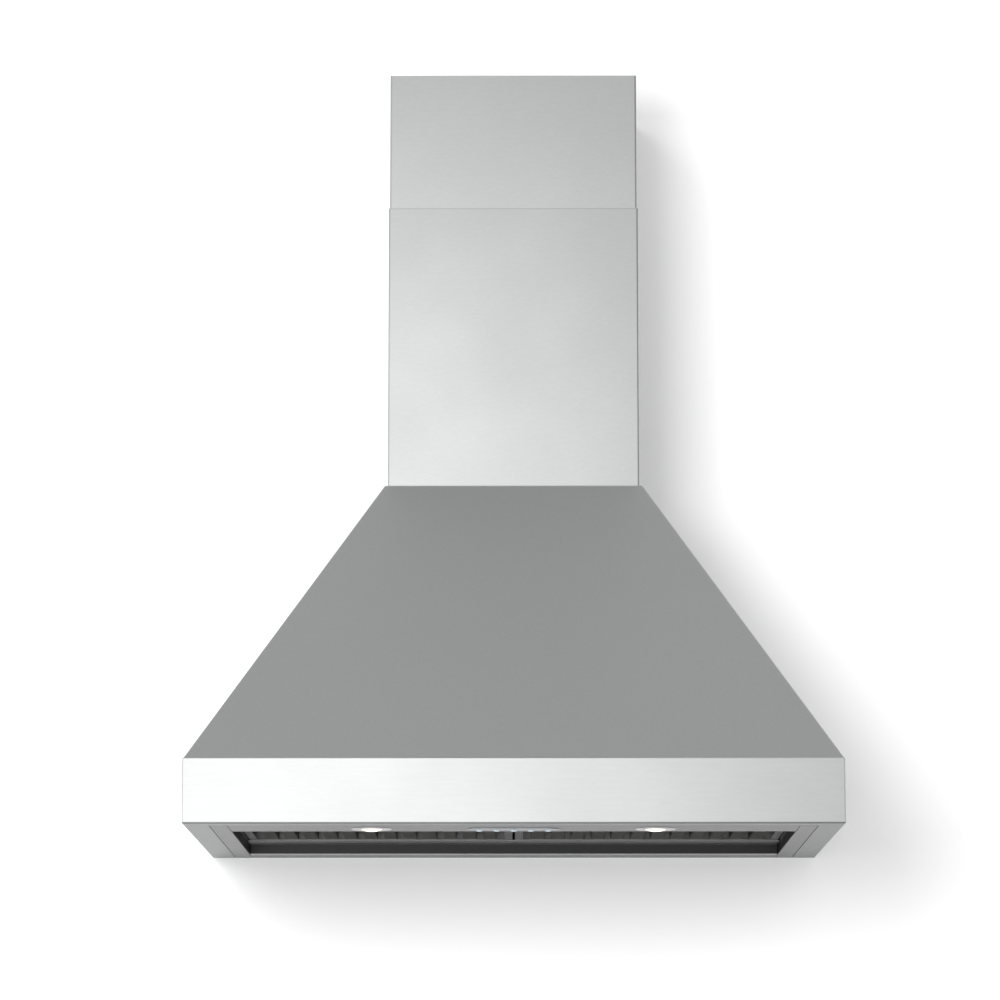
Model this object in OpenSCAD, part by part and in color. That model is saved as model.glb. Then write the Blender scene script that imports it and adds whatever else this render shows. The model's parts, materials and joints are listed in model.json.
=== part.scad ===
/* [Canopy] */
// Width of the hood along the wall
hood_w = 900; // [800:10:1200]
// Depth from the wall to the front edge
hood_d = 600; // [560:10:680]
// Height of the straight band
band_h = 90; // [76:1:120]
// Height of the sloping shell above the band
slope_h = 425; // [400:5:520]
// Thickness of the canopy's steel sheet
sheet = 1.2; // [0.8:0.1:2]
// Step from the band's edge in to the foot of the sloping shell
band_lip = 1.5; // [0.5:0.1:3]
// Lip of the flat top around the chimney
top_lip = 4; // [2:0.5:8]

/* [Underside] */
// Width of the rim folded in under the band
rim_w = 34; // [28:1:40]
// Open seam between the rim and the ledges
seam = 1.5; // [0.8:0.1:2.5]
// Side ledge, from the hood's side to the filter opening
side_ledge_w = 59; // [55:1:80]
// Front ledge, from the front edge to the filter opening
front_ledge_d = 130; // [112:1:150]
// Rear ledge, from the wall to the filter opening
rear_ledge_d = 54; // [44:1:120]
// Height of the filters' seat above the rim
recess_h = 16; // [12:1:20]
// Depth of the rail that the filters rest on
rail_d = 65; // [40:1:80]
// Height of the walls around the filters
liner_h = 50; // [46:1:60]

/* [Filters] */
// Thickness of a filter
filter_h = 22; // [20:1:24]
// Gap around the filters
filter_gap = 3; // [2.5:0.1:4]
// How far a filter lies on the rail
rail_hold = 12; // [8:1:20]
// Width of a filter frame's flanges
frame_flange = 12; // [8:1:18]
// Sheet of the filters
filter_sheet = 0.9; // [0.6:0.1:1.2]
// Distance from one baffle to the next
baffle_pitch = 29; // [24:1:40]
// Width of a baffle channel
baffle_w = 19; // [16:1:22]
// Height of a baffle channel
baffle_h = 11; // [9:1:12]
// Width of a filter's pull handle
handle_w = 72; // [50:1:110]
// Wire of the pull handle
handle_wire = 4; // [3:0.5:6]

/* [Chimney] */
// Width of the lower chimney
chimney_w = 364; // [320:2:420]
// Depth of the lower chimney from the wall
chimney_d = 290; // [270:2:330]
// Height of the lower chimney
lower_h = 412; // [380:2:600]
// Length of the upper chimney
upper_h = 400; // [320:2:560]
// How far the upper chimney shows above the lower one
upper_show = 200; // [120:2:260]
// Sheet of the chimneys
chimney_sheet = 1; // [0.7:0.1:1.5]
// Sliding gap between the chimneys
slide_gap = 0.4; // [0.3:0.1:1]
// Width of the chimneys' folds against the wall
return_w = 25; // [20:1:40]

/* [Blower] */
// Outside diameter of the duct collar
collar_d = 150; // [125:1:156]
// Height of the duct collar
collar_h = 50; // [44:1:70]
// Diameter of the fan wheel
wheel_d = 170; // [150:2:176]
// Width of the fan wheel
wheel_w = 140; // [110:2:150]
// Number of blades round the wheel
blade_count = 36; // [24:1:48]
// Width of the blower between its side plates
scroll_w = 186; // [176:2:220]
// Sheet of the blower
blower_sheet = 1; // [0.8:0.1:1.5]
// Diameter of the motor
motor_d = 92; // [80:1:100]
// Diameter of the motor's shaft
shaft_d = 10; // [8:1:12]

/* [Controls] */
// Number of buttons
button_count = 5; // [5:1:5]
// Distance from one button to the next
button_pitch = 23.7; // [18:0.1:30]
// Diameter of a button
button_d = 9; // [7:0.5:12]
// Travel of a button
button_travel = 1.2; // [0.8:0.1:1.5]
// How far a button stands out of its strip
button_proud = 2; // [1.8:0.1:3]
// Length of the control strip
fascia_w = 126; // [124:1:160]
// Depth of the control strip
fascia_d = 26; // [20:1:36]

/* [Lamps] */
// Distance of each lamp from the middle
lamp_x = 195; // [120:1:300]
// Diameter of a lamp's bezel
bezel_d = 56; // [46:1:60]
// Diameter of a lamp's lens
lens_d = 34; // [26:1:38]

/* [Wall] */
// Distance between the wall screws, across and up
wall_pitch = 320; // [240:5:340]
// Diameter of the holes for the wall screws
wall_hole_d = 8; // [6:0.5:10]
// Distance between the screw holes of the upper bracket
bracket_pitch = 250; // [180:5:270]

/* [Hidden] */

// Smoothness, overrun of every cut, and the gap that keeps moving pieces apart
$fn = 64;
over = 1;
clear = 0.3;

// Heights and half widths that the canopy's pieces share
top_z = band_h + slope_h;
half_w = hood_w / 2;
top_half = chimney_w / 2 + top_lip;
top_d = chimney_d + top_lip;
foot_half = half_w - band_lip;
foot_d = hood_d - band_lip;
side_run = (foot_half - top_half) / slope_h;
front_run = (foot_d - top_d) / slope_h;
open_half = half_w - side_ledge_w;
open_front = -(hood_d - front_ledge_d);
open_back = -rear_ledge_d;
rim_in = rim_w + seam;
rim_lap = 12;
foot_flange = 12;

// Filters
rail_front = open_back - rail_d;
seat_z = recess_h + sheet;
filter_z = seat_z + clear;
filter_back = rail_front + rail_hold;
filter_front = open_front + filter_gap;
filter_len = filter_back - filter_front;
filter_w = open_half - filter_gap - filter_gap / 2;
filter_mid = (filter_gap + filter_w) / 2;
swing_len = rail_front - filter_front;
swing_grow = sqrt(pow(swing_len, 2) + pow(filter_h + clear, 2)) - swing_len;
clip_bulge = filter_gap - swing_grow - clear;

// Upper chimney, drawn in by the lower one's sheet and the sliding gap
slip = chimney_sheet + slide_gap;
lower_top = top_z + lower_h;
upper_top = lower_top + upper_show;
upper_bottom = upper_top - upper_h;

// Collar and damper, in the middle of the chimney
collar_r = collar_d / 2;
collar_y = -chimney_d / 2;
duct_sheet = 1.2;
collar_in = collar_r - duct_sheet;
collar_flange = 14;
gasket_t = 2;
collar_z = top_z + gasket_t;
pin_d = 4;
pin_share = 0.4;
pin_z = collar_z + collar_h * pin_share;
flap_t = 0.8;
flap_gap = 1.2;
knuckle_t = 1.2;
knuckle_fit = 0.06;
knuckle_r = pin_d / 2 + knuckle_t;
knuckle_bore = pin_d / 2 + knuckle_fit;
knuckle_share = 0.16;

// Blower, hung under the top plate with its outlet under the collar
wheel_r = wheel_d / 2;
wheel_gap = 7;
scroll_start = wheel_r + wheel_gap;
scroll_growth = 60;
scroll_end = scroll_start + scroll_growth;
outlet_d = 2 * collar_in;
outlet_back = collar_y + collar_in;
axis_y = outlet_back - scroll_end;
axis_drop = 185;
axis_z = top_z - axis_drop;
scroll_top = top_z - sheet;
scroll_half = scroll_w / 2;
inlet_lap = 19;
inlet_r = wheel_r - inlet_lap;
motor_r = motor_d / 2;
motor_len = 58;
shaft_r = shaft_d / 2;
disc_t = 2;

// Controls and lamps, on the middle line of the front ledge's inner strip
strip_y = -(hood_d - (rim_in + front_ledge_d) / 2);
button_x = [for (i = [0 : button_count - 1]) (i - (button_count - 1) / 2) * button_pitch];
button_r = button_d / 2;
fascia_t = 1.6;
button_flange = 1.2;
board_t = 1.6;
bezel_t = 1.6;
lens_r = lens_d / 2;
bezel_lap = 5;
lamp_hole_r = bezel_d / 2 - bezel_lap;

// Helpers
// A sheet-metal profile drawn in the side view (y, z) and drawn out across x
module across(points, width, x = 0) {
    translate([x - width / 2, 0, 0]) rotate([90, 0, 90]) linear_extrude(width) polygon(points);
}
// A profile drawn in the front view (x, z) and drawn out from y_back towards the front
module forward(points, depth, y_back = 0) {
    translate([0, y_back, 0]) rotate([90, 0, 0]) linear_extrude(depth) polygon(points);
}
// A block between two corners
module block(a, b) { translate(a) cube(b - a); }
// A rod along x
module rod_x(r, length, x = 0, y = 0, z = 0) {
    translate([x - length / 2, y, z]) rotate([0, 90, 0]) cylinder(r = r, h = length);
}
// A hole along y through the back panel and all that lies on it
module wall_hole(x, z, r, depth) translate([x, over, z]) rotate([90, 0, 0])
    cylinder(r = r, h = depth + 2 * over);
// The frustum of the sloping shell, taken in by a sheet's thickness
module frustum(inset = 0, past = 0) {
    side_in = inset * sqrt(1 + side_run * side_run);
    front_in = inset * sqrt(1 + front_run * front_run);
    low = band_h - past;
    high = top_z + past;
    x_low = foot_half + side_run * past - side_in;
    x_high = top_half - side_run * past - side_in;
    y_low = -(foot_d + front_run * past - front_in);
    y_high = -(top_d - front_run * past - front_in);
    intersection() {
        forward([[-x_low, low], [x_low, low], [x_high, high], [-x_high, high]], hood_d, past);
        across([[y_low, low], [past, low], [past, high], [y_high, high]], hood_w);
    }
}

// Canopy
module canopy_band() color("gainsboro") difference() {
    block([-half_w, -hood_d, 0], [half_w, -sheet, band_h]);
    block([-half_w + sheet, -hood_d + sheet, sheet], [half_w - sheet, over, band_h - sheet]);
    block([-half_w + rim_w, -hood_d + rim_w, -over], [half_w - rim_w, over, band_h]);
    block([-half_w + foot_flange, -hood_d + foot_flange, sheet], [half_w - foot_flange, over, band_h + over]);
}
module pyramid_shell() color("darkgray") difference() {
    frustum();
    frustum(sheet, over);
    block([-half_w, -sheet, 0], [half_w, over, top_z]);
    block([-half_w, -hood_d, top_z - sheet], [half_w, over, top_z + over]);
}
module top_plate() color("silver") difference() {
    block([-top_half, -top_d, top_z - sheet], [top_half, -sheet, top_z]);
    translate([0, collar_y, top_z - sheet - over]) cylinder(r = collar_in, h = sheet + 2 * over);
    translate([gland_x, gland_y, top_z - sheet - over])
        cylinder(r = gland_thread_r + clear, h = sheet + 2 * over);
}
module back_panel() color("silver") difference() {
    forward([[-half_w, 0], [half_w, 0], [half_w, band_h], [foot_half, band_h], [top_half, top_z],
        [-top_half, top_z], [-foot_half, band_h], [-half_w, band_h]], sheet);
    for (x = [-1, 1], z = [-1, 1])
        wall_hole(x * wall_pitch / 2, wall_z + z * wall_pitch / 2, wall_hole_d / 2, sheet);
    for (x = [-1, 1])
        wall_hole(x * hook_x, hook_z, hook_slot_r, sheet);
}
// Ledge, joggled up to lap over the rim in front, and folded up along the filter opening
module front_ledge() color("silver") difference() {
    across([[-hood_d + rim_in, 0], [open_front, 0], [open_front, liner_h], [open_front - sheet, liner_h],
        [open_front - sheet, sheet], [-hood_d + rim_in + sheet, sheet], [-hood_d + rim_in + sheet, 2 * sheet],
        [-hood_d + rim_in - rim_lap, 2 * sheet], [-hood_d + rim_in - rim_lap, sheet],
        [-hood_d + rim_in, sheet]], 2 * (open_half - seam / 2));
    for (x = [-1, 1])
        translate([x * lamp_x, strip_y, -over]) cylinder(r = lamp_hole_r, h = sheet + 2 * over);
    for (x = button_x)
        translate([x, strip_y, -over]) cylinder(r = button_r + button_flange + 2 * clear, h = sheet + 2 * over);
}
module side_ledge() difference() {
    forward([[half_w - rim_in, 0], [half_w - rim_in, sheet], [half_w - rim_in + rim_lap, sheet],
        [half_w - rim_in + rim_lap, 2 * sheet], [half_w - rim_in - sheet, 2 * sheet],
        [half_w - rim_in - sheet, sheet], [open_half + sheet, sheet], [open_half + sheet, liner_h],
        [open_half, liner_h], [open_half, 0]], hood_d - rim_in - sheet - seam, -sheet);
    block([open_half - over, -hood_d, sheet], [open_half + sheet + over, open_front - sheet, liner_h + over]);
}
module side_ledge_right() color("silver") side_ledge();
module side_ledge_left() color("silver") mirror([1, 0, 0]) side_ledge();
module rear_ledge() color("silver") across([[-sheet, 0], [-sheet, sheet], [open_back + sheet, sheet],
    [open_back + sheet, seat_z], [rail_front, seat_z], [rail_front, recess_h], [open_back, recess_h],
    [open_back, 0]], 2 * (open_half - seam / 2));
// Bowed leaf springs on the front wall of the opening
clip_w = 18;
clip_t = 0.6;
clip_h = 26;
clip_x = 60;
module filter_clips() color("lightsteelblue") for (side = [-1, 1], n = [-1, 1])
    across([[open_front, filter_z], [open_front + clip_t, filter_z],
        [open_front + clip_bulge, filter_z + clip_h / 2 - clip_w / 6],
        [open_front + clip_bulge, filter_z + clip_h / 2 + clip_w / 6],
        [open_front + clip_t, filter_z + clip_h], [open_front, filter_z + clip_h]],
        clip_w, side * filter_mid + n * clip_x);

// Wall fixing
wall_drop = 20;
wall_z = band_h + slope_h / 2 - wall_drop;
hook_x = 90;
hook_drop = 46;
hook_z = top_z - hook_drop;
hook_slot_r = 9;
hook_w = 34;
hook_h = 64;
hook_t = 2.5;
hook_arm = 26;
hook_lip = 14;
module hanging_hooks() color("lightsteelblue") for (x = [-1, 1])
    let (face = -sheet - hook_t, toe = -sheet - hook_arm, low = hook_z - hook_h / 2) difference() {
    across([[-sheet, low], [-sheet, low + hook_h], [face, low + hook_h], [face, low + hook_t],
        [toe, low + hook_t], [toe, low + hook_lip], [toe - hook_t, low + hook_lip], [toe - hook_t, low]],
        hook_w, x * hook_x);
    wall_hole(x * hook_x, hook_z, hook_slot_r - hook_t, sheet + hook_t);
}

// Chimneys: a front and two sides, with folds against the wall
module chimney(half, front, back, bottom, height) {
    t = chimney_sheet;
    translate([0, 0, bottom]) linear_extrude(height) polygon([
        [-half, front], [half, front], [half, back], [half - return_w, back], [half - return_w, back - t],
        [half - t, back - t], [half - t, front + t], [-half + t, front + t], [-half + t, back - t],
        [-half + return_w, back - t], [-half + return_w, back], [-half, back]]);
}
module lower_chimney() color("lightgray") difference() {
    chimney(chimney_w / 2, -chimney_d, 0, top_z, lower_h);
    for (x = [-1, 1]) foot_screw_hole(x);
}
module upper_chimney() color("silver")
    chimney(chimney_w / 2 - slip, -chimney_d + slip, -slip, upper_bottom, upper_h);
// Angles on the top plate that the lower chimney is screwed to
foot_t = 2;
foot_leg = 26;
foot_w = 60;
foot_screw_r = 2;
foot_y_share = 0.62;
foot_y = -chimney_d * foot_y_share;
foot_x = chimney_w / 2 - chimney_sheet;
foot_screw_share = 0.6;
foot_screw_z = top_z + foot_leg * foot_screw_share;
module foot_screw_hole(side) translate([side * foot_x, foot_y, foot_screw_z]) rotate([0, 90, 0])
    cylinder(r = foot_screw_r, h = 4 * foot_t, center = true);
module chimney_feet() color("lightsteelblue") for (x = [-1, 1]) difference() {
    translate([0, foot_y + foot_w / 2, 0]) rotate([90, 0, 0]) linear_extrude(foot_w)
        polygon([[x * foot_x, top_z], [x * foot_x, top_z + foot_leg], [x * (foot_x - foot_t), top_z + foot_leg],
            [x * (foot_x - foot_t), top_z + foot_t], [x * (foot_x - foot_leg), top_z + foot_t],
            [x * (foot_x - foot_leg), top_z]]);
    foot_screw_hole(x);
}
// Strap inside the head of the upper chimney, screwed to the wall and to the folds
strap_h = 34;
strap_t = 2;
strap_tab = 40;
strap_drop = 12;
bracket_hole_r = 3;
bracket_half = chimney_w / 2 - slip - chimney_sheet;
bracket_z = upper_top - strap_drop - strap_h / 2;
bracket_back = -slip - chimney_sheet;
module upper_bracket() color("lightsteelblue") difference() {
    translate([0, 0, bracket_z - strap_h / 2]) linear_extrude(strap_h) polygon([
        [-bracket_half, bracket_back], [bracket_half, bracket_back], [bracket_half, bracket_back - strap_tab],
        [bracket_half - strap_t, bracket_back - strap_tab], [bracket_half - strap_t, bracket_back - strap_t],
        [-bracket_half + strap_t, bracket_back - strap_t], [-bracket_half + strap_t, bracket_back - strap_tab],
        [-bracket_half, bracket_back - strap_tab]]);
    for (x = [-1, 1])
        wall_hole(x * bracket_pitch / 2, bracket_z, bracket_hole_r, slip + chimney_sheet + strap_t);
}

// Collar and damper
module ring(outer, inner, height) difference() {
    cylinder(r = outer, h = height);
    translate([0, 0, -over]) cylinder(r = inner, h = height + 2 * over);
}
module collar_screw_holes(z) for (a = [45 : 90 : 315])
    translate([cos(a) * collar_screw_pcr, collar_y + sin(a) * collar_screw_pcr, z - over])
        cylinder(r = collar_screw_r, h = collar_flange);
collar_screw_pcr = collar_r + collar_flange / 2;
collar_screw_r = 2;
module duct_collar() color("gray") difference() {
    translate([0, collar_y, collar_z]) union() {
        ring(collar_r, collar_in, collar_h);
        ring(collar_r + collar_flange, collar_in, duct_sheet);
    }
    rod_x(pin_d / 2, 2 * collar_r + 2 * over, 0, collar_y, pin_z);
    collar_screw_holes(collar_z);
}
module collar_gasket() color("dimgray") difference() {
    translate([0, collar_y, top_z]) ring(collar_r + collar_flange, collar_in, gasket_t);
    collar_screw_holes(top_z);
}
module damper_pin() color("silver") rod_x(pin_d / 2, 2 * collar_r, 0, collar_y, pin_z);
// Half a disc, hung on the pin by two rolled knuckles that pass between the other flap's
knuckle_w = collar_in * knuckle_share;
module flap(shift) difference() {
    union() {
        intersection() {
            translate([0, 0, -flap_t / 2]) cylinder(r = collar_in - flap_gap, h = flap_t);
            block([-collar_r, knuckle_r + clear, -collar_r], [collar_r, collar_r, collar_r]);
        }
        for (n = [-1, 1]) let (x = n * collar_in / 2 + shift) {
            rod_x(knuckle_r, knuckle_w, x);
            block([x - knuckle_w / 2, 0, -flap_t / 2], [x + knuckle_w / 2, 2 * knuckle_r, flap_t / 2]);
        }
    }
    rod_x(knuckle_bore, 2 * collar_r);
}
module at_pin() translate([0, collar_y, pin_z]) children();
module flap_front() color("gainsboro") at_pin() mirror([0, 1, 0]) flap(-(knuckle_w + clear) / 2);
module flap_rear() color("gainsboro") at_pin() flap((knuckle_w + clear) / 2);

// Blower. The scroll starts at the cutoff above the axis on the outlet's inner side, and grows round the front
scroll_steps = 40;
cutoff_y = outlet_back - outlet_d;
cut_angle = acos((cutoff_y - axis_y) / scroll_start);
// The last angle is a full turn on, at the back, where the outlet's outer wall rises
function scroll_r(a) = scroll_start + scroll_growth * (a - cut_angle) / (360 - cut_angle);
function scroll_line(t) = [for (i = [0 : scroll_steps])
    let (a = cut_angle + (360 - cut_angle) * i / scroll_steps)
    [axis_y + cos(a) * (scroll_r(a) + t), axis_z + sin(a) * (scroll_r(a) + t)]];
function cutoff_z(t) = axis_z + sqrt(pow(scroll_start + t, 2) - pow(cutoff_y - t - axis_y, 2));
function scroll_outline(t, top) = concat([[cutoff_y - t, top], [cutoff_y - t, cutoff_z(t)]],
    [for (p = scroll_line(t)) if (p[0] < cutoff_y - t || p[1] < axis_z) p], [[axis_y + scroll_end + t, top]]);
module blower_scroll() color("lightsteelblue") difference() {
    across(scroll_outline(blower_sheet, scroll_top), scroll_w);
    across(scroll_outline(0, scroll_top + over), scroll_w + 2 * over);
}
module blower_side(side) difference() {
    across(scroll_outline(blower_sheet, scroll_top), blower_sheet, side * (scroll_half + blower_sheet / 2));
    rod_x(inlet_r + blower_sheet, 4 * blower_sheet, side * scroll_half, axis_y, axis_z);
}
module blower_side_left() color("lightsteelblue") blower_side(-1);
module blower_side_right() color("lightsteelblue") blower_side(1);
// Bell mouths, rolled outwards, whose throat enters the side plate's hole
bell_r = 9;
bell_throat = 8;
module inlet_rings() color("slategray") for (side = [-1, 1])
    translate([side * (scroll_half + blower_sheet), axis_y, axis_z]) rotate([0, side * 90, 0])
    rotate_extrude() polygon(
        concat([[inlet_r, -bell_throat], [inlet_r, 0]],
            [for (a = [180 : -15 : 90]) [inlet_r + bell_r + cos(a) * bell_r, sin(a) * bell_r]],
            [for (a = [90 : 15 : 165]) [inlet_r + bell_r + cos(a) * (bell_r - blower_sheet),
                sin(a) * (bell_r - blower_sheet)]],
            [[inlet_r + blower_sheet, 0], [inlet_r + blower_sheet, -bell_throat]]));
// Motor, on three arms from the left side plate, inside the left half of the wheel
motor_gap = 8;
motor_x = -disc_t - motor_gap - motor_len;
arm_w = 16;
arm_t = 2.5;
arm_past = 12;
arm_reach = inlet_r + bell_r + arm_past;
bracket_x = -(scroll_half + blower_sheet + bell_r + arm_t + clear);
hub_r = 27;
module along_motor(x) translate([x, axis_y, axis_z]) rotate([90, 0, 90]) children();
module motor_bracket() color("dimgray") union() {
    along_motor(bracket_x) linear_extrude(arm_t) difference() {
        union() {
            circle(r = hub_r);
            for (a = [90 : 120 : 330]) rotate(a) translate([0, -arm_w / 2]) square([arm_reach, arm_w]);
        }
        circle(r = bearing_boss_r + clear);
    }
    for (a = [90 : 120 : 330]) along_motor(bracket_x + arm_t) rotate(a)
        translate([arm_reach - arm_t, -arm_w / 2, 0])
        cube([arm_t, arm_w, -bracket_x - arm_t - scroll_half - blower_sheet]);
    along_motor(bracket_x + arm_t) linear_extrude(motor_x - bracket_x - arm_t) difference() {
        circle(r = hub_r);
        circle(r = hub_r - arm_t);
    }
}
can_t = 2;
bearing_wall = 7;
bearing_boss_r = shaft_r + bearing_wall;
bearing_w = 8;
shaft_fit = 0.02;
bearing_in = shaft_r + shaft_fit;
module motor_can() color("dimgray") difference() {
    rod_x(motor_r, motor_len, motor_x + motor_len / 2, axis_y, axis_z);
    rod_x(motor_r - can_t, motor_len - 2 * bearing_w, motor_x + motor_len / 2, axis_y, axis_z);
    rod_x(bearing_boss_r, motor_len + 2 * over, motor_x + motor_len / 2, axis_y, axis_z);
}
module motor_bearings() color("silver") for (x = [motor_x + bearing_w / 2, motor_x + motor_len - bearing_w / 2])
    difference() {
        rod_x(bearing_boss_r, bearing_w, x, axis_y, axis_z);
        rod_x(bearing_in, bearing_w + 2 * over, x, axis_y, axis_z);
    }
rotor_share = 0.52;
rotor_r = motor_r * rotor_share;
air_gap = 0.6;
winding_gap = 4;
stator_len = motor_len - 2 * (bearing_w + winding_gap);
slot_count = 12;
slot_r = 2.6;
module motor_stator() color("saddlebrown") difference() {
    rod_x(motor_r - can_t, stator_len, motor_x + motor_len / 2, axis_y, axis_z);
    rod_x(rotor_r + air_gap, stator_len + 2 * over, motor_x + motor_len / 2, axis_y, axis_z);
    for (i = [0 : slot_count - 1]) let (a = 360 * i / slot_count, r = (motor_r + rotor_r) / 2)
        rod_x(slot_r, stator_len + 2 * over, motor_x + motor_len / 2, axis_y + cos(a) * r, axis_z + sin(a) * r);
}
module motor_shaft() color("silver") union() {
    rod_x(shaft_r, disc_t / 2 + hub_len - motor_x, (disc_t / 2 + hub_len + motor_x) / 2, axis_y, axis_z);
    rod_x(rotor_r, stator_len, motor_x + motor_len / 2, axis_y, axis_z);
}
// Wheel with a disc in the middle, a ring at each end, and forward-curved blades between them
hub_len = 16;
hub_wall = 8;
wheel_hub_r = shaft_r + hub_wall;
blade_depth = 15;
blade_share = 0.46;
blade_t = 0.8;
blade_curve = 22;
blade_tilt = 25;
ring_w = 3;
module wheel_ring(x) difference() {
    rod_x(wheel_r, ring_w, x, axis_y, axis_z);
    rod_x(wheel_r - blade_depth, ring_w + 2 * over, x, axis_y, axis_z);
}
module blade_line() translate([-blade_curve, 0]) intersection() {
    difference() {
        circle(r = blade_curve + blade_t / 2);
        circle(r = blade_curve - blade_t / 2);
    }
    translate([0, -blade_depth * blade_share]) square([2 * blade_curve, 2 * blade_depth * blade_share]);
}
module fan_wheel() color("lightslategray") difference() {
    union() {
        rod_x(wheel_r, disc_t, 0, axis_y, axis_z);
        rod_x(wheel_hub_r, hub_len, hub_len / 2, axis_y, axis_z);
        for (x = [-1, 1]) wheel_ring(x * (wheel_w - ring_w) / 2);
        for (i = [0 : blade_count - 1]) translate([0, axis_y, axis_z]) rotate([360 * i / blade_count, 0, 0])
            translate([(ring_w - wheel_w) / 2, 0, 0]) rotate([90, 0, 90]) linear_extrude(wheel_w - ring_w)
                translate([wheel_r - blade_depth / 2, 0]) rotate(90 + blade_tilt) blade_line();
    }
    rod_x(shaft_r, wheel_w, 0, axis_y, axis_z);
}
// Straps from the back panel to the blower's sides
strap_up = 60;
strap_z = axis_z + strap_up;
strap_w = 28;
strap_foot = 22;
strap_hold = 34;
module blower_straps() color("lightsteelblue") for (x = [-1, 1]) let (at = x * (scroll_half + blower_sheet))
    translate([0, 0, strap_z]) linear_extrude(strap_w) polygon([[at, -sheet], [at + x * strap_foot, -sheet],
        [at + x * strap_foot, -sheet - strap_t], [at + x * strap_t, -sheet - strap_t],
        [at + x * strap_t, outlet_back - strap_hold], [at, outlet_back - strap_hold]]);
capacitor_r = 17;
capacitor_len = 62;
capacitor_forward = 40;
capacitor_up = 104;
capacitor_y = axis_y - capacitor_forward;
capacitor_z = axis_z + capacitor_up;
pole_share = 1 / 3;
pole_len = 8;
module run_capacitor() color("whitesmoke")
    translate([scroll_half + blower_sheet, capacitor_y, capacitor_z - capacitor_r]) rotate([0, 90, 0]) union() {
        cylinder(r = capacitor_r, h = capacitor_len);
        cylinder(r = capacitor_r * pole_share, h = capacitor_len + pole_len);
    }

// Control box on the back panel, with its board, driver and terminals
box_in = 255;
box_x = half_w - box_in;
box_up = 24;
box_z = band_h + box_up;
box_w = 140;
box_d = 56;
box_h = 116;
box_t = 1;
lead_r = 2.5;
lead_y = -sheet - box_d / 2;
lead_shares = [0.25, 0.75];
module control_box() color("lightsteelblue") difference() {
    block([box_x, -sheet - box_d, box_z], [box_x + box_w, -sheet, box_z + box_h]);
    block([box_x + box_t, -sheet - box_d - over, box_z + box_t],
        [box_x + box_w - box_t, -sheet - box_t, box_z + box_h - box_t]);
    for (share = lead_shares) translate([box_x + box_w * share, lead_y, box_z - over])
        cylinder(r = lead_r + clear, h = box_h + 2 * over);
    translate([box_x - over, lead_y, box_z + box_h / 2]) rotate([0, 90, 0])
        cylinder(r = lead_r + clear, h = box_t + 2 * over);
}
lid_lap = 10;
module control_box_lid() color("silver") difference() {
    block([box_x - box_t, -sheet - box_d - box_t, box_z - box_t],
        [box_x + box_w + box_t, -sheet - box_d + lid_lap, box_z + box_h + box_t]);
    block([box_x, -sheet - box_d, box_z], [box_x + box_w, 0, box_z + box_h]);
}
// Places on the box's rear wall, as shares of its height, and of the board's width
board_gap = 6;
board_share = 0.58;
board_height_shares = [0.12, 0.88];
post_x_shares = [0.1, 0.9];
post_z_shares = [0.18, 0.82];
relay_shares = [0.15, 0.42, 0.69];
relay_w_share = 0.2;
relay_height_shares = [0.52, 0.76];
board_x = box_x + box_t + board_gap;
board_len = box_w * board_share;
board_post = 6;
relay_h = 16;
box_wall = -sheet - box_t;
board_y = box_wall - board_post - board_t;
module power_board() color("seagreen") union() {
    block([board_x, board_y, box_z + box_h * board_height_shares[0]],
        [board_x + board_len, board_y + board_t, box_z + box_h * board_height_shares[1]]);
    for (x = post_x_shares, z = post_z_shares) translate([board_x + board_len * x, box_wall, box_z + box_h * z])
        rotate([90, 0, 0]) cylinder(r = board_post / 2, h = board_post);
    for (x = relay_shares) block(
        [board_x + board_len * x, board_y - relay_h, box_z + box_h * relay_height_shares[0]],
        [board_x + board_len * (x + relay_w_share), board_y, box_z + box_h * relay_height_shares[1]]);
}
driver_x = board_x + board_len + board_gap;
driver_h = 25;
driver_height_shares = [0.48, 0.9];
module lamp_driver() color("whitesmoke") block(
    [driver_x, box_wall - driver_h, box_z + box_h * driver_height_shares[0]],
    [box_x + box_w - box_t - board_gap, box_wall, box_z + box_h * driver_height_shares[1]]);
terminal_count = 4;
terminal_pitch = 8;
terminal_h = 15;
terminal_well_r = 2.4;
terminal_height_shares = [0.14, 0.24, 0.34];
module terminal_block() color("ivory") difference() {
    block([driver_x, box_wall - terminal_h, box_z + box_h * terminal_height_shares[0]],
        [driver_x + terminal_count * terminal_pitch, box_wall, box_z + box_h * terminal_height_shares[2]]);
    for (i = [0 : terminal_count - 1])
        translate([driver_x + (i + 1 / 2) * terminal_pitch, box_wall - terminal_h - over,
            box_z + box_h * terminal_height_shares[1]])
            rotate([-90, 0, 0]) cylinder(r = terminal_well_r, h = terminal_h / 2 + over);
}
gland_x_share = 0.7;
gland_y_share = 0.17;
gland_x = top_half * gland_x_share;
gland_y = -chimney_d * gland_y_share;
gland_thread_r = 9;
gland_bore_r = 5;
gland_nut_r = 14;
gland_nut_h = 6;
gland_cone = 2;
gland_up = 18;
module cable_gland() color("dimgray") difference() {
    translate([gland_x, gland_y, 0]) union() {
        translate([0, 0, top_z - sheet - gland_nut_h]) cylinder(r = gland_nut_r, h = gland_nut_h, $fn = 6);
        translate([0, 0, top_z - sheet]) cylinder(r = gland_thread_r, h = sheet);
        translate([0, 0, top_z]) cylinder(r = gland_nut_r, h = gland_nut_h, $fn = 6);
        translate([0, 0, top_z + gland_nut_h])
            cylinder(r1 = gland_nut_r - gland_cone, r2 = gland_thread_r, h = gland_up - gland_nut_h);
    }
    translate([gland_x, gland_y, top_z - 2 * gland_up]) cylinder(r = gland_bore_r, h = 4 * gland_up);
}

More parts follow.
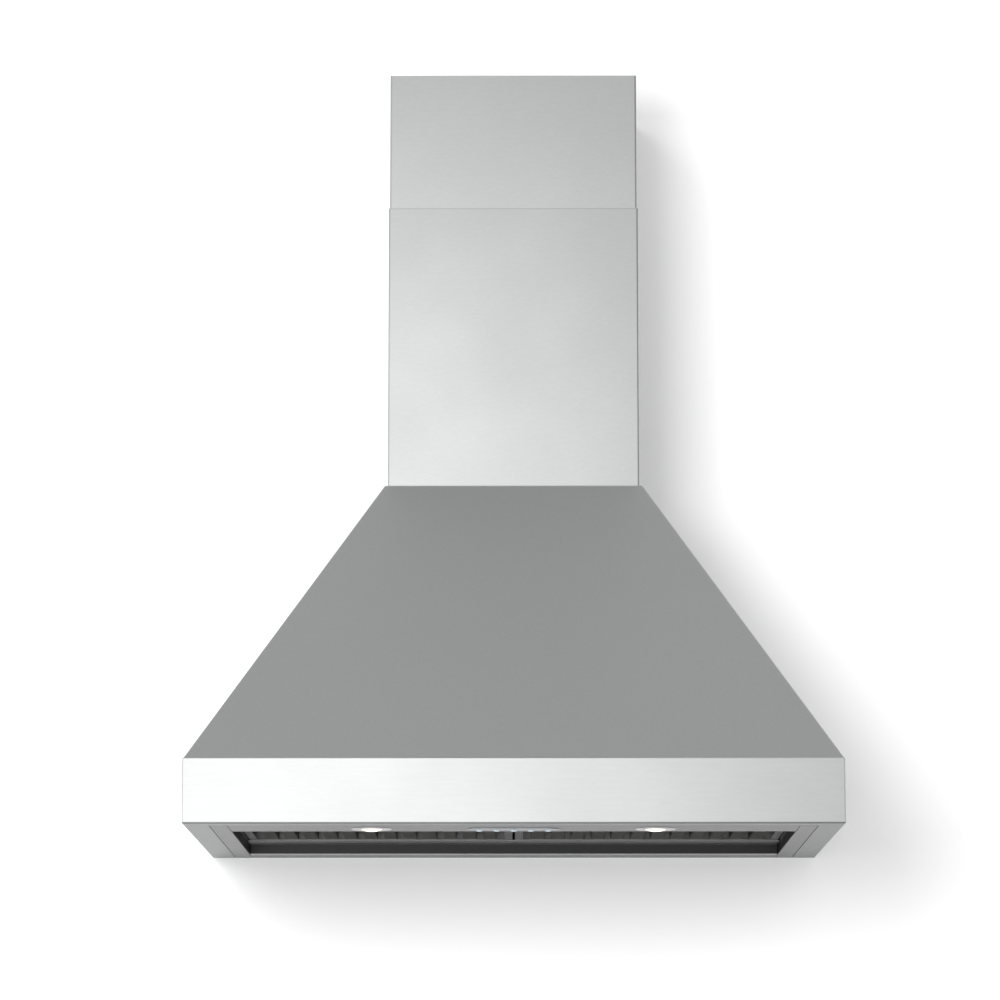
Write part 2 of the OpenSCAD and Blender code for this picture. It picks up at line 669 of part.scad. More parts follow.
// Control strip, its buttons and the board above them
stem_top = 6;
dome_h = 1.8;
dome_shares = [0.35, 0.7];
board_margin = 14;
board_d_share = 0.42;
board_z = stem_top + button_travel + clear + dome_h;
board_half = (button_count - 1) / 2 * button_pitch + board_margin;
board_edge = fascia_d * board_d_share;
post_r = 2.5;
button_crown_share = 0.86;
module control_fascia() color("lightsteelblue") difference() {
    translate([0, strip_y, -fascia_t]) linear_extrude(fascia_t) union() {
        square([fascia_w - fascia_d, fascia_d], center = true);
        for (x = [-1, 1]) translate([x * (fascia_w - fascia_d) / 2, 0]) circle(r = fascia_d / 2);
    }
    for (x = button_x) translate([x, strip_y, -fascia_t - over])
        cylinder(r = button_r + clear, h = fascia_t + 2 * over);
}
module button(n) color("azure") translate([button_x[n - 1], strip_y, 0]) rotate_extrude() polygon([
    [0, stem_top], [button_r / 2, stem_top], [button_r / 2, clear + button_flange],
    [button_r + button_flange, clear + button_flange], [button_r + button_flange, clear], [button_r, clear],
    [button_r, -fascia_t - button_proud * 2 / 3], [button_r * button_crown_share, -fascia_t - button_proud],
    [0, -fascia_t - button_proud]]);
module button_1() button(1);
module button_2() button(2);
module button_3() button(3);
module button_4() button(4);
module button_5() button(5);
module button_board() color("seagreen") union() {
    block([-board_half, strip_y - board_edge, board_z], [board_half, strip_y + board_edge, board_z + board_t]);
    for (x = [-1, 1], y = [-1, 1])
        translate([x * (board_half - post_r), strip_y + y * (board_edge - post_r), sheet])
            cylinder(r = post_r, h = board_z - sheet);
}
module button_domes() color("gold") for (x = button_x) translate([x, strip_y, board_z - dome_h])
    cylinder(r1 = button_r * dome_shares[0], r2 = button_r * dome_shares[1], h = dome_h);

// Lamps
lens_lip = 2;
lens_flange_t = 2;
dome_r = lens_r - lens_lip - clear / 2;
lens_proud = 2.4;
dome_drop = bezel_t + lens_proud;
sleeve_h = 14;
sleeve_r = lamp_hole_r - clear;
module at_lamps() for (x = [-1, 1]) translate([x * lamp_x, strip_y, 0]) children();
module lamp_bezels() color("silver") at_lamps() rotate_extrude() polygon([
    [lens_r - lens_lip, -bezel_t], [bezel_d / 2 - bezel_t, -bezel_t], [bezel_d / 2, -bezel_t / 2],
    [bezel_d / 2, 0], [sleeve_r, 0], [sleeve_r, sleeve_h], [lens_r + clear / 2, sleeve_h], [lens_r + clear / 2, 0],
    [lens_r - lens_lip, 0]]);
module lamp_lenses() color("lightyellow") at_lamps() rotate_extrude() polygon(concat(
    [[0, lens_flange_t], [lens_r, lens_flange_t], [lens_r, 0], [dome_r, 0]],
    [for (a = [0 : 10 : 90]) [dome_r * cos(a), -dome_drop * sin(a)]]));
fin_count = 6;
fin_t = 1.6;
lamp_body_h = 32;
core_share = 0.55;
module lamp_bodies() color("dimgray") at_lamps() translate([0, 0, sleeve_h]) union() {
    cylinder(r = sleeve_r * core_share, h = lamp_body_h);
    for (i = [0 : fin_count - 1]) translate([0, 0, (lamp_body_h - fin_t) * i / (fin_count - 1)])
        cylinder(r = sleeve_r, h = fin_t);
}
lamp_clip_w = 10;
lamp_clip_reach = 12;
lamp_clip_t = 0.8;
lamp_clip_tip = 5;
module lamp_clips() color("lightsteelblue") at_lamps() for (a = [0, 180]) rotate([0, 0, a])
    translate([0, lamp_clip_w / 2, 0]) rotate([90, 0, 0]) linear_extrude(lamp_clip_w) polygon([
        [sleeve_r, sleeve_h - lamp_clip_reach / 3], [sleeve_r, sleeve_h - lamp_clip_reach / 3 - lamp_clip_t],
        [sleeve_r + lamp_clip_reach, sheet], [sleeve_r + lamp_clip_reach + lamp_clip_tip, sheet],
        [sleeve_r + lamp_clip_reach + lamp_clip_tip, sheet + lamp_clip_t],
        [sleeve_r + lamp_clip_reach + lamp_clip_t, sheet + lamp_clip_t]]);

// Leads from the control box to the motor, the lamps and the buttons
lead_side = open_half + sheet + lead_r;
lead_z = liner_h - lead_r;
lamp_top = sleeve_h + lamp_body_h;
lead_sides = 8;
// Straight runs, each drawn on past its bends so that they join
module lead(points) for (i = [0 : len(points) - 2]) let (
    way = points[i + 1] - points[i], length = norm(way), unit = way / length,
    start = i > 0 ? lead_r / 2 : 0, end = i < len(points) - 2 ? lead_r / 2 : 0)
    translate(points[i] - unit * start) rotate([0, acos(unit[2]), atan2(way[1], way[0])])
        cylinder(r = lead_r, h = length + start + end, $fn = lead_sides);
module wiring() color("dimgray") {
    mid_z = box_z + box_h / 2;
    out_x = bracket_x - arm_w;
    lead([[box_x + box_t, lead_y, mid_z], [0, lead_y, mid_z], [out_x, lead_y, axis_z - arm_reach],
        [out_x, axis_y, axis_z], [motor_x, axis_y, axis_z]]);
    lift = 3 * lead_r;
    for (x = [-1, 1]) let (
        from = box_x + box_w * lead_shares[(x + 1) / 2], run_z = liner_h + lead_r + (1 + x) * lift)
        lead([[from, lead_y, box_z + box_t], [from, lead_y, run_z], [x * lead_side, lead_y, run_z],
            [x * lead_side, strip_y, lead_z], [x * lamp_x, strip_y, lamp_top + lift],
            [x * lamp_x, strip_y, lamp_top]]);
    tap_x = lamp_x - sleeve_r + lead_r;
    board_lead_x = board_half - post_r;
    lead([[tap_x, strip_y, lamp_top], [tap_x, strip_y, lamp_top + lift],
        [board_lead_x, strip_y, lamp_top + lift], [board_lead_x, strip_y, board_z + board_t]]);
}

// Screws, each a pan head and its shank
head_r = 3.6;
head_h = 2.2;
module screw(r, length) union() {
    cylinder(r = head_r, h = head_h);
    translate([0, 0, -length]) cylinder(r = r, h = length);
}
module screws() color("silver") {
    for (x = [-1, 1]) translate([x * chimney_w / 2, foot_y, foot_screw_z]) rotate([0, x * 90, 0])
        screw(foot_screw_r, chimney_sheet + foot_t);
    for (a = [45 : 90 : 315])
        translate([cos(a) * collar_screw_pcr, collar_y + sin(a) * collar_screw_pcr, collar_z + duct_sheet])
            screw(collar_screw_r, duct_sheet + gasket_t);
}

// Filters: a channel frame, two layers of baffle channels and a wire handle. The right one is the pattern
module filter_frame() difference() {
    block([-filter_w / 2, filter_front, filter_z], [filter_w / 2, filter_back, filter_z + filter_h]);
    block([-filter_w / 2 + filter_sheet, filter_front + filter_sheet, filter_z + filter_sheet],
        [filter_w / 2 - filter_sheet, filter_back - filter_sheet, filter_z + filter_h - filter_sheet]);
    block([-filter_w / 2 + frame_flange, filter_front + frame_flange, filter_z - over],
        [filter_w / 2 - frame_flange, filter_back - frame_flange, filter_z + filter_h + over]);
}
baffle_count = floor((filter_w - 2 * frame_flange) / baffle_pitch);
module channel(x, bottom, up) translate([x, filter_back - filter_sheet, bottom]) rotate([90, 0, 0])
    linear_extrude(filter_len - 2 * filter_sheet) mirror([0, up > 0 ? 0 : 1]) polygon([
        [-baffle_w / 2, 0], [baffle_w / 2, 0], [baffle_w / 2, baffle_h],
        [baffle_w / 2 - filter_sheet, baffle_h],
        [baffle_w / 2 - filter_sheet, filter_sheet], [-baffle_w / 2 + filter_sheet, filter_sheet],
        [-baffle_w / 2 + filter_sheet, baffle_h], [-baffle_w / 2, baffle_h]]);
module baffles() {
    for (i = [0 : baffle_count - 1])
        channel((i - (baffle_count - 1) / 2) * baffle_pitch, filter_z + filter_sheet, 1);
    for (i = [0 : baffle_count])
        channel((i - baffle_count / 2) * baffle_pitch, filter_z + filter_h - filter_sheet, -1);
}
handle_drop = 11;
handle_y = filter_front + frame_flange / 2;
module filter_handle() union() {
    rod_x(handle_wire / 2, handle_w, 0, handle_y, filter_z - handle_drop);
    for (x = [-1, 1]) translate([x * handle_w / 2, handle_y, filter_z - handle_drop]) union() {
        sphere(r = handle_wire / 2, $fn = 32);
        cylinder(r = handle_wire / 2, h = handle_drop);
    }
}
module filter_frame_right() color("gray") translate([filter_mid, 0, 0]) filter_frame();
module filter_frame_left() color("gray") translate([-filter_mid, 0, 0]) filter_frame();
module baffles_right() color("dimgray") translate([filter_mid, 0, 0]) baffles();
module baffles_left() color("dimgray") translate([-filter_mid, 0, 0]) baffles();
module filter_handle_right() color("silver") translate([filter_mid, 0, 0]) filter_handle();
module filter_handle_left() color("silver") translate([-filter_mid, 0, 0]) filter_handle();

canopy_band();
pyramid_shell();
top_plate();
back_panel();
front_ledge();
side_ledge_left();
side_ledge_right();
rear_ledge();
filter_clips();
hanging_hooks();
lower_chimney();
chimney_feet();
upper_chimney();
upper_bracket();
duct_collar();
collar_gasket();
damper_pin();
flap_front();
flap_rear();
blower_scroll();
blower_side_left();
blower_side_right();
inlet_rings();
motor_bracket();
motor_can();
motor_stator();
motor_bearings();
motor_shaft();
fan_wheel();
run_capacitor();
blower_straps();
control_box();
control_box_lid();
terminal_block();
power_board();
lamp_driver();
cable_gland();
control_fascia();
button_board();
button_domes();
button_1();
button_2();
button_3();
button_4();
button_5();
lamp_bodies();
lamp_bezels();
lamp_lenses();
lamp_clips();
wiring();
screws();
filter_frame_left();
filter_frame_right();
baffles_left();
baffles_right();
filter_handle_left();
filter_handle_right();
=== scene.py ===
# A wall hood with a telescoping chimney: looks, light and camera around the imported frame
import json
import math

import bmesh
import bpy
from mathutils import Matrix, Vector


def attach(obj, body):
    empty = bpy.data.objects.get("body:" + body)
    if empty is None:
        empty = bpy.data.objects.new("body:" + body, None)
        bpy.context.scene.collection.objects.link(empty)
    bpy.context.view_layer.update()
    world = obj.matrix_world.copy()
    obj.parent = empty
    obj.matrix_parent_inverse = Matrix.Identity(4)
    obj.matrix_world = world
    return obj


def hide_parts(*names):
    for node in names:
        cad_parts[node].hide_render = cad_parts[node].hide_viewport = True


mm = 0.001
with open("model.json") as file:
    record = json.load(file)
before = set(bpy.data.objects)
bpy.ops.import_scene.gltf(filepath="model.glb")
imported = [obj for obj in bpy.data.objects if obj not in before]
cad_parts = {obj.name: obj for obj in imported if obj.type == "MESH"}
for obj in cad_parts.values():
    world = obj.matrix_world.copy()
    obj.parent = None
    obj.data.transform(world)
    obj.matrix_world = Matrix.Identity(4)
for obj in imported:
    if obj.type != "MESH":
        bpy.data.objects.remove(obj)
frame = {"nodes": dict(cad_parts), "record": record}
nodes = frame["nodes"]
bodyOf = {node: body for body, members in frame["record"]["behaviour"]["bodies"].items() for node in members}
slotOf = {part["node"]: part["material_slot"] for part in frame["record"]["subparts"]}
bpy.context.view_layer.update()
print("frame loaded:", len(nodes), "nodes")

# Camera, as the photograph was taken: low, straight on, with a long lens
cameraPlan = {
    "place": (0.001, -6.304, -0.489),
    "tiltUp": 9.288,
    "turnLeft": 0.196,
    "focalPixels": 4215,
    "pictureSide": 1000,
    "sensor": 36,
    "farthest": 60,
}


def makeCamera(plan):
    data = bpy.data.cameras.new("camera")
    data.sensor_width = plan["sensor"]
    data.lens = plan["focalPixels"] / plan["pictureSide"] * plan["sensor"]
    data.clip_end = plan["farthest"]
    camera = bpy.data.objects.new("camera", data)
    camera.location = plan["place"]
    camera.rotation_euler = (math.radians(90 + plan["tiltUp"]), 0, math.radians(plan["turnLeft"]))
    bpy.context.scene.collection.objects.link(camera)
    bpy.context.scene.camera = camera


makeCamera(cameraPlan)
print("camera placed")


# Shader maths: a wire is an output socket, and arithmetic on wires adds Math nodes
class Wire:
    def __init__(self, finish, socket):
        self.finish = finish
        self.socket = socket

    def maths(self, operation, *values):
        return self.finish.node("Math", {"operation": operation}, values or [self])

    def __add__(self, other):
        return self.maths("ADD", self, other)

    def __sub__(self, other):
        return self.maths("SUBTRACT", self, other)

    def __rsub__(self, other):
        return self.maths("SUBTRACT", other, self)

    def __mul__(self, other):
        return self.maths("MULTIPLY", self, other)

    __radd__ = __add__
    __rmul__ = __mul__

    def soften(self, low, high):  # from 0 to 1 while the wire goes from low to high
        return self.finish.node("MapRange", {"interpolation_type": "SMOOTHSTEP"},
            {"Value": self, "From Min": low, "From Max": high})

    def between(self, low, high, blur):
        return self.soften(low - blur, low + blur) * self.soften(high + blur, high - blur)


class Finish:
    def __init__(self, owner):
        owner.use_nodes = True
        self.owner = owner
        self.tree = owner.node_tree
        self.tree.nodes.clear()

    def node(self, kind, settings, values, output=0):
        made = self.tree.nodes.new("ShaderNode" + kind)
        for name, value in settings.items():
            setattr(made, name, value)
        pairs = values.items() if isinstance(values, dict) else enumerate(values)
        for key, value in pairs:
            if isinstance(value, Wire):
                self.tree.links.new(value.socket, made.inputs[key])
            else:
                made.inputs[key].default_value = value
        return Wire(self, made.outputs[output]) if made.outputs else made

    def point(self, scale=(1, 1, 1), turn=(0, 0, 0)):  # a point of the piece, in metres times scale
        place = self.node("TexCoord", {}, {}, "Object")
        return self.node("Mapping", {}, {"Vector": place, "Rotation": turn, "Scale": scale})

    def along(self, axis):  # metres along X, Y or Z
        return self.node("SeparateXYZ", {}, {"Vector": self.point()}, axis)

    def noise(self, scale, detail=3, roughness=0.55):
        return self.node("TexNoise", {}, {"Vector": self.point(scale), "Scale": 1, "Detail": detail,
            "Roughness": roughness})

    def blend(self, factor, first, second):
        return self.node("Mix", {"data_type": "RGBA"}, {0: factor, 6: first, 7: second}, 2)

    def bump(self, height, strength, distance):
        return self.node("Bump", {}, {"Height": height, "Strength": strength, "Distance": distance})

    def end(self, shader, kind="OutputMaterial"):
        self.node(kind, {}, {"Surface": shader})
        return self.owner

    def skin(self, colour, rough, normal, metallic=0, others=None):
        values = {"Base Color": colour, "Roughness": rough, "Normal": normal, "Metallic": metallic}
        return self.end(self.node("BsdfPrincipled", {}, values | (others or {}), "BSDF"))


def newFinish(name):
    return Finish(bpy.data.materials.new(name))


usualNoise = (0.3, 0.7)  # a noise seldom leaves this range, and its middle is the next value
middleNoise = 0.5


def tone(colour, factor=1):
    return (*[min(1, channel * factor) for channel in colour], 1)


def share(part, first, second):  # so much of the first and the rest of the second
    return first * part + second * (1 - part)


def scaleOf(*lengths):  # of a pattern with one length along all axes, or with one along each
    return [1 / length for length in lengths * (3 // len(lengths))]


def depthRange(node, face, start, end):  # the stretch between two depths below a face of a node's box
    axis, sign = face[1], 1 if face[0] == "+" else -1
    reach = max(sign * vertex.co["XYZ".index(axis)] for vertex in nodes[node].data.vertices)
    return axis, *sorted((sign * (reach - start * mm), sign * (reach - end * mm)))


# Brushed or satin sheet steel. Streaks run along one axis: each is a noise stretched along it
def steelFinish(name, plan):
    finish = newFinish(name)
    fine = finish.noise(scaleOf(*plan["grain"]), detail=2, roughness=0.6)
    broad = finish.noise(scaleOf(*[length * plan["broader"] for length in plan["grain"]]))
    cloud = finish.noise(scaleOf(plan["cloud"]), detail=2)
    streak = share(plan["fineShare"], fine, broad)
    dark, light = tone(plan["colour"], 1 - plan["depth"]), tone(plan["colour"], 1 + plan["depth"])
    colour = finish.blend(streak.soften(*usualNoise), dark, light)
    clouded = tone(plan["colour"], plan["clouded"])
    colour = finish.blend(cloud.soften(*usualNoise) * plan["clouding"], colour, clouded)
    # painted shade: each listed stretch of the piece is darkened to its given brightness, standing for shade
    for factor, *stretches in plan["marks"]:
        mark = 1
        for stretch in stretches:
            axis, low, high = depthRange(*stretch)
            mark = finish.along(axis).between(low, high, plan["shadeBlur"]) * mark
        colour = finish.blend(mark, colour, tone(plan["colour"], factor))
    rough = plan["roughness"] + (streak - middleNoise) * plan["roughSpread"]
    rough = rough + (cloud - middleNoise) * plan["roughSpread"]
    normal = finish.bump(streak, plan["bump"], plan["grainDeep"])
    return finish.skin(colour, rough, normal, 1, {"Specular Tint": tone(plan["edge"])})


# The grain's lengths are in millimetres. A painted shade is a stretch of the piece darkened to stand for shade,
# such as the line of a fold.
# It has its brightness, then the faces of a node's box that it lies under, each with two depths in millimetres
def steelPlan(colour, roughness, grain, **changes):
    plan = {"colour": colour, "roughness": roughness, "grain": [length * mm for length in grain],
        "broader": 4, "fineShare": 0.5, "cloud": 0.16, "clouding": 0.12, "clouded": 0.8, "depth": 0.05,
        "roughSpread": 0.12, "bump": 0.12, "grainDeep": 0.05 * mm, "edge": (1, 1, 1), "marks": [],
        "shadeBlur": 0.5 * mm}
    return plan | changes


# The band, chimney, lower chimney, slope and ledge steels are one steel whose colours are set apart as painted
# light and shade: the slope and ledges darker for the dimmer light they reflect, the lower chimney a darker copy of
# the chimney's
steelPlans = {
    "band_steel": steelPlan((0.51, 0.52, 0.515), 0.36, (14, 1.2, 1.2), edge=(0.42, 0.42, 0.42), depth=0.03,
        roughSpread=0.07, broader=3,
        # painted shade: the lower edge of the front fold is darkened to a dark line
        marks=[(0.4, ("canopy_band", "-Z", 0, 2.2), ("canopy_band", "-Y", -1, 2.2))]),
    "chimney_steel": steelPlan((0.475, 0.485, 0.48), 0.31, (5, 1.3, 1.3), depth=0.03, roughSpread=0.07,
        broader=2.5,
        # painted shade: both folded sides are darkened, the right side more than the left
        marks=[(0.55, ("upper_chimney", "+X", 0.7, 2.7)), (0.8, ("upper_chimney", "-X", 0.7, 2.7))]),
    "lower_chimney_shaded_steel": steelPlan((0.445, 0.455, 0.45), 0.31, (5, 1.3, 1.3), depth=0.03, roughSpread=0.07,
        broader=2.5,
        # painted shade: both folded sides are darkened, the right more, and a line along the top edge where the
        # upper chimney comes out
        marks=[(0.55, ("lower_chimney", "+X", 0.5, 2.4)), (0.8, ("lower_chimney", "-X", 0.5, 2.4)),
            (0.8, ("lower_chimney", "+Z", -1, 1.4))]),
    "slope_steel": steelPlan((0.395, 0.405, 0.40), 0.46, (1.8, 1.8, 1.8), edge=(0.7, 0.7, 0.7), clouding=0.05,
        depth=0.03, roughSpread=0.04, broader=2),
    "ledge_steel": steelPlan((0.36, 0.36, 0.365), 0.40, (4, 1.6, 1.6), edge=(0.52, 0.52, 0.52),
        # painted shade: the inside walls of the recess, 2 to 15.9 mm above the band's bottom, are darkened
        marks=[(0.15, ("canopy_band", "-Z", 2, 15.9))]),
    "fascia_steel": steelPlan((0.42, 0.44, 0.455), 0.36, (40, 0.6, 0.6), edge=(0.75, 0.75, 0.75)),
    "duct_steel": steelPlan((0.55, 0.57, 0.58), 0.38, (6, 6, 6), depth=0.1),
    "spring_steel": steelPlan((0.55, 0.55, 0.55), 0.30, (30, 0.5, 0.5)),
    # painted shade: the filter frames and baffles are darkened steel with their grazing sheen taken out, standing
    # for the shade inside the recess
    "filter_steel": steelPlan((0.34, 0.34, 0.34), 0.40, (60, 0.6, 0.6), edge=(0.1, 0.1, 0.1)),
    "baffle_steel": steelPlan((0.24, 0.24, 0.23), 0.38, (0.6, 60, 0.6), edge=(0, 0, 0)),
    "wheel_steel": steelPlan((0.60, 0.62, 0.63), 0.36, (5, 5, 5), depth=0.1),
}


# Zinc-plated sheet, with the faint crystal pattern of its coat
zincPlan = {"colour": (0.62, 0.64, 0.65), "crystal": 7 * mm, "crystalShare": 0.7, "crystalDeep": 0.02 * mm,
    "stain": 0.12, "depth": 0.09, "roughness": 0.38, "roughSpread": 0.16, "bump": 0.1}


def zincFinish(name, plan):
    finish = newFinish(name)
    place = finish.point(scaleOf(plan["crystal"]))
    cell = finish.node("TexVoronoi", {"feature": "F1"}, {"Vector": place, "Scale": 1}, "Color")
    tint = finish.node("SeparateColor", {}, {"Color": cell}, 0)
    stain = finish.noise(scaleOf(plan["stain"]), detail=4)
    dark, light = tone(plan["colour"], 1 - plan["depth"]), tone(plan["colour"], 1 + plan["depth"])
    colour = finish.blend(share(plan["crystalShare"], tint, stain), dark, light)
    rough = plan["roughness"] + (tint - middleNoise) * plan["roughSpread"]
    normal = finish.bump(tint, plan["bump"], plan["crystalDeep"])
    return finish.skin(colour, rough, normal, 1)


# Bright plated or polished metal with hair-fine scratches
def brightPlan(colour, roughness, roughSpread, smear, bump):
    return {"colour": colour, "roughness": roughness, "roughSpread": roughSpread, "smear": smear * mm,
        "bump": bump, "scratchWide": 0.3 * mm, "scratchLong": 20 * mm, "scratchDeep": 0.02 * mm, "dark": 0.92,
        "light": 1.05}


brightPlans = {
    "screw_steel": brightPlan((0.75, 0.75, 0.76), 0.22, 0.10, smear=14, bump=0.1),
    "bezel_chrome": brightPlan((0.42, 0.42, 0.43), 0.22, 0.08, smear=20, bump=0.05),
    "dome_brass": brightPlan((0.80, 0.65, 0.30), 0.25, 0.12, smear=3, bump=0.1),
}


def brightFinish(name, plan):
    finish = newFinish(name)
    smear = finish.noise(scaleOf(plan["smear"]))
    scratch = finish.noise(scaleOf(plan["scratchWide"], plan["scratchLong"], plan["scratchLong"]), detail=2)
    colour = finish.blend(smear, tone(plan["colour"], plan["dark"]), tone(plan["colour"], plan["light"]))
    rough = plan["roughness"] + smear * plan["roughSpread"]
    normal = finish.bump(scratch, plan["bump"], plan["scratchDeep"])
    return finish.skin(colour, rough, normal, 1)


# Lacquered copper windings: turns of wire across the motor's axis
windingPlan = {"colour": (0.70, 0.36, 0.18), "waveUnit": 6.93 * mm, "turnShare": 0.6, "turnDeep": 0.3 * mm,
    "mottle": 9 * mm, "dark": 0.55, "light": 1.15, "metallic": 0.9, "roughness": 0.30, "roughSpread": 0.15,
    "bump": 0.5}


def windingFinish(name, plan):
    finish = newFinish(name)
    place = finish.point(scaleOf(plan["waveUnit"]))
    turns = finish.node("TexWave", {"wave_type": "BANDS", "bands_direction": "X"},
        {"Vector": place, "Scale": 1, "Distortion": 0.6, "Detail": 1})
    mottle = finish.noise(scaleOf(plan["mottle"]))
    dark, light = tone(plan["colour"], plan["dark"]), tone(plan["colour"], plan["light"])
    colour = finish.blend(share(plan["turnShare"], turns, mottle), dark, light)
    normal = finish.bump(turns, plan["bump"], plan["turnDeep"])
    rough = plan["roughness"] + mottle * plan["roughSpread"]
    return finish.skin(colour, rough, normal, plan["metallic"])


# Paint, plastic and rubber: a colour with a grained skin and slight unevenness
def mouldedPlan(colour, roughness, roughSpread, grain, bump):
    return {"colour": colour, "roughness": roughness, "roughSpread": roughSpread, "grain": grain * mm,
        "bump": bump, "grainSpread": 0.06, "grainDeep": 0.06 * mm, "cloud": 45 * mm, "cloudShare": 0.6,
        "dark": 0.88, "light": 1.12}


mouldedPlans = {
    "black_steel": mouldedPlan((0.045, 0.045, 0.05), 0.42, 0.14, grain=0.8, bump=0.25),
    "black_rubber": mouldedPlan((0.03, 0.03, 0.03), 0.70, 0.16, grain=0.5, bump=0.3),
    "black_plastic": mouldedPlan((0.04, 0.04, 0.04), 0.52, 0.1, grain=0.35, bump=0.3),
    "white_plastic": mouldedPlan((0.82, 0.82, 0.79), 0.45, 0.1, grain=0.4, bump=0.2),
}


def mouldedFinish(name, plan):
    finish = newFinish(name)
    grain = finish.noise(scaleOf(plan["grain"]))
    cloud = finish.noise(scaleOf(plan["cloud"]), detail=2)
    dark, light = tone(plan["colour"], plan["dark"]), tone(plan["colour"], plan["light"])
    colour = finish.blend(share(plan["cloudShare"], cloud, grain), dark, light)
    rough = plan["roughness"] + (cloud - middleNoise) * plan["roughSpread"]
    rough = rough + (grain - middleNoise) * plan["grainSpread"]
    normal = finish.bump(grain, plan["bump"], plan["grainDeep"])
    return finish.skin(colour, rough, normal)


# Circuit board: green lacquer over copper tracks
boardPlan = {"colour": (0.03, 0.20, 0.08), "track": (0.10, 0.36, 0.14), "pitch": 5 * mm, "grain": 1.5 * mm,
    "grainHeight": 0.1, "roughness": 0.35, "roughSpread": 0.12, "bump": 0.3, "trackDeep": 0.05 * mm}


def boardFinish(name, plan):
    finish = newFinish(name)
    place = finish.point(scaleOf(plan["pitch"]), (math.radians(90), 0, 0))  # the board stands upright
    tracks = finish.node("TexBrick", {"offset": 0.37, "squash": 1.7},
        {"Vector": place, "Scale": 1, "Mortar Size": 0.09, "Brick Width": 2.3, "Row Height": 0.6}, "Fac")
    grain = finish.noise(scaleOf(plan["grain"]))
    colour = finish.blend(tracks, tone(plan["colour"]), tone(plan["track"]))
    normal = finish.bump(tracks + grain * plan["grainHeight"], plan["bump"], plan["trackDeep"])
    rough = plan["roughness"] + grain * plan["roughSpread"]
    return finish.skin(colour, rough, normal)


# Lit pieces: the frosted lenses of the lamps and the buttons lit from behind, each brightest about its middle.
# All stand in one row, and those of one kind are a pitch apart
litRow = -517.25 * mm
lampSide = 195 * mm
lensPlan = {"colour": (1.0, 0.97, 0.90), "glow": (1.0, 0.93, 0.80), "rim": (0.42, 0.34, 0.24),
    "strength": 2.4, "core": 6.8 * mm, "first": lampSide, "pitch": 2 * lampSide, "roughness": 0.35}
buttonPlan = {"colour": (0.60, 0.66, 0.70), "glow": (0.66, 0.82, 0.90), "rim": (0.05, 0.07, 0.08),
    "strength": 0.8, "core": 2.6 * mm, "first": 0, "pitch": 23.7 * mm, "roughness": 0.25}
frostPlan = {"grain": 1.2 * mm, "dark": 0.94, "evenGlow": 0.9, "roughSpread": 0.1, "bump": 0.1,
    "deep": 0.05 * mm, "coreInside": 0.5, "coreOutside": 1.6}


def litFinish(name, plan):
    finish = newFinish(name)
    frost = finish.noise(scaleOf(frostPlan["grain"]))
    across = finish.along("X") - plan["first"]
    aside = across - (across * (1 / plan["pitch"])).maths("ROUND") * plan["pitch"]
    back = finish.along("Y") - litRow
    inside, outside = frostPlan["coreInside"] * plan["core"], frostPlan["coreOutside"] * plan["core"]
    core = (aside * aside + back * back).soften(outside * outside, inside * inside)
    colour = finish.blend(frost, tone(plan["colour"], frostPlan["dark"]), tone(plan["colour"]))
    glow = finish.blend(core * share(frostPlan["evenGlow"], 1, frost), tone(plan["rim"]), tone(plan["glow"]))
    rough = plan["roughness"] + frost * frostPlan["roughSpread"]
    normal = finish.bump(frost, frostPlan["bump"], frostPlan["deep"])
    lit = {"Emission Color": glow, "Emission Strength": plan["strength"]}
    return finish.skin(colour, rough, normal, 0, lit)


finishes = {
    "galvanised": zincFinish("galvanised", zincPlan),
    "copper": windingFinish("copper", windingPlan),
    "board_green": boardFinish("board_green", boardPlan),
    "lens_glass": litFinish("lens_glass", lensPlan),
    "button_white": litFinish("button_white", buttonPlan),
}
finishes |= {name: steelFinish(name, plan) for name, plan in steelPlans.items()}
finishes |= {name: brightFinish(name, plan) for name, plan in brightPlans.items()}
finishes |= {name: mouldedFinish(name, plan) for name, plan in mouldedPlans.items()}
print("finishes made:", len(finishes))


# Pieces: every CAD node gets a copy whose folds are rounded and whose cut edges are broken
shapePlan = {
    "mergeGap": 0.002 * mm,  # corners nearer than this are one, where edges get rounded
    "samePoint": 0.00005 * mm,  # and where they don't
    "sliver": 0.0001 * mm,
    "flat": math.radians(0.4),
    "sharp": math.radians(32),
    "panel": 2.5,  # how many thicknesses wide both sides of a fold are at least
    "foldSteps": 3,
    "edgeSteps": 2,
    "smooth": math.radians(40),
}


def mergedCopy(node, wholeFaces):  # a bevel needs whole flat faces, without the lines that cut them up
    bm = bmesh.new()
    bm.from_mesh(nodes[node].data)
    if wholeFaces:
        bmesh.ops.remove_doubles(bm, verts=bm.verts, dist=shapePlan["mergeGap"])
        bmesh.ops.dissolve_limit(bm, angle_limit=shapePlan["flat"], verts=bm.verts, edges=bm.edges)
        bmesh.ops.connect_verts_concave(bm, faces=bm.faces)
    else:
        bmesh.ops.remove_doubles(bm, verts=bm.verts, dist=shapePlan["samePoint"])
    return bm


def sharpEdges(bm):
    return [edge for edge in bm.edges if edge.is_manifold and edge.calc_face_angle() > shapePlan["sharp"]]


def isFold(edge, thickness):  # both panels beside a fold are much wider than the sheet is thick
    least = shapePlan["panel"] * thickness * edge.calc_length()
    return all(face.calc_area() > least for face in edge.link_faces)


def bevelEdges(bm, edges, width, steps):
    if edges:
        bmesh.ops.bevel(bm, geom=edges, offset=width, offset_type="OFFSET", segments=steps, profile=0.5,
            affect="EDGES", material=-1, clamp_overlap=True)


def roundFolds(bm, thickness, radius):
    for convex, width in (True, radius), (False, radius - thickness):
        folds = [edge for edge in sharpEdges(bm) if isFold(edge, thickness) and edge.is_convex == convex]
        if width > 0:
            bevelEdges(bm, folds, width, shapePlan["foldSteps"])


